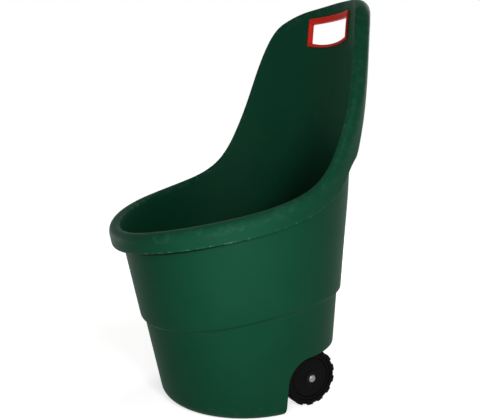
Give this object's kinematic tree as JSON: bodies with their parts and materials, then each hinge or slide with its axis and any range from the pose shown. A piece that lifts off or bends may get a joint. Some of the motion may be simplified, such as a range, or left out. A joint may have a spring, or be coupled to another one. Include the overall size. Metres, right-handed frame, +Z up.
{
  "type": "garden cart",
  "caption": "Moulded scoop-shaped garden cart with a rolled rim, a tall back panel with a lined hand opening, and lugged wheels on a steel axle under the rear.",
  "frame": {"origin": "on the ground, under the middle of the cart's overall box", "axes": "+Z up, the low lip faces -Y, the back panel and hand grip are at +Y, the axle runs along X and left is +X"},
  "size_m": [0.5034, 0.5348, 0.8365],
  "materials": {
    "green_moulded_plastic": "dark green polypropylene, fine satin mould texture",
    "red_moulded_plastic": "red polypropylene, semi-gloss",
    "black_wheel_plastic": "black polypropylene, fine matt texture",
    "black_tread_plastic": "black moulded tread, matt",
    "black_nylon": "black nylon",
    "zinc_plated_steel": "zinc plated",
    "spring_steel": "phosphated spring steel",
    "bright_plated_cap": "bright nickel plate"
  },
  "bodies": {
    "cart": {"tub": "green_moulded_plastic", "grip_front": "red_moulded_plastic", "grip_rear": "red_moulded_plastic", "grip_screws": "zinc_plated_steel", "axle": "zinc_plated_steel", "left_axle_bush": "black_nylon", "left_inner_washer": "black_nylon", "left_outer_washer": "black_nylon", "left_star_washer": "spring_steel", "left_axle_cap": "bright_plated_cap", "right_axle_bush": "black_nylon", "right_inner_washer": "black_nylon", "right_outer_washer": "black_nylon", "right_star_washer": "spring_steel", "right_axle_cap": "bright_plated_cap"},
    "left_wheel": {"left_wheel_core": "black_wheel_plastic", "left_tyre": "black_tread_plastic", "left_hub_bush": "black_nylon"},
    "right_wheel": {"right_wheel_core": "black_wheel_plastic", "right_tyre": "black_tread_plastic", "right_hub_bush": "black_nylon"}
  },
  "joints": [
    {"name": "left_wheel_spin", "type": "hinge", "parent": "cart", "child": "left_wheel", "pos_m": [0.127, 0.0928, 0.0584], "axis": [1, 0, 0], "continuous": true},
    {"name": "right_wheel_spin", "type": "hinge", "parent": "cart", "child": "right_wheel", "pos_m": [-0.127, 0.0928, 0.0584], "axis": [1, 0, 0], "continuous": true}
  ]
}
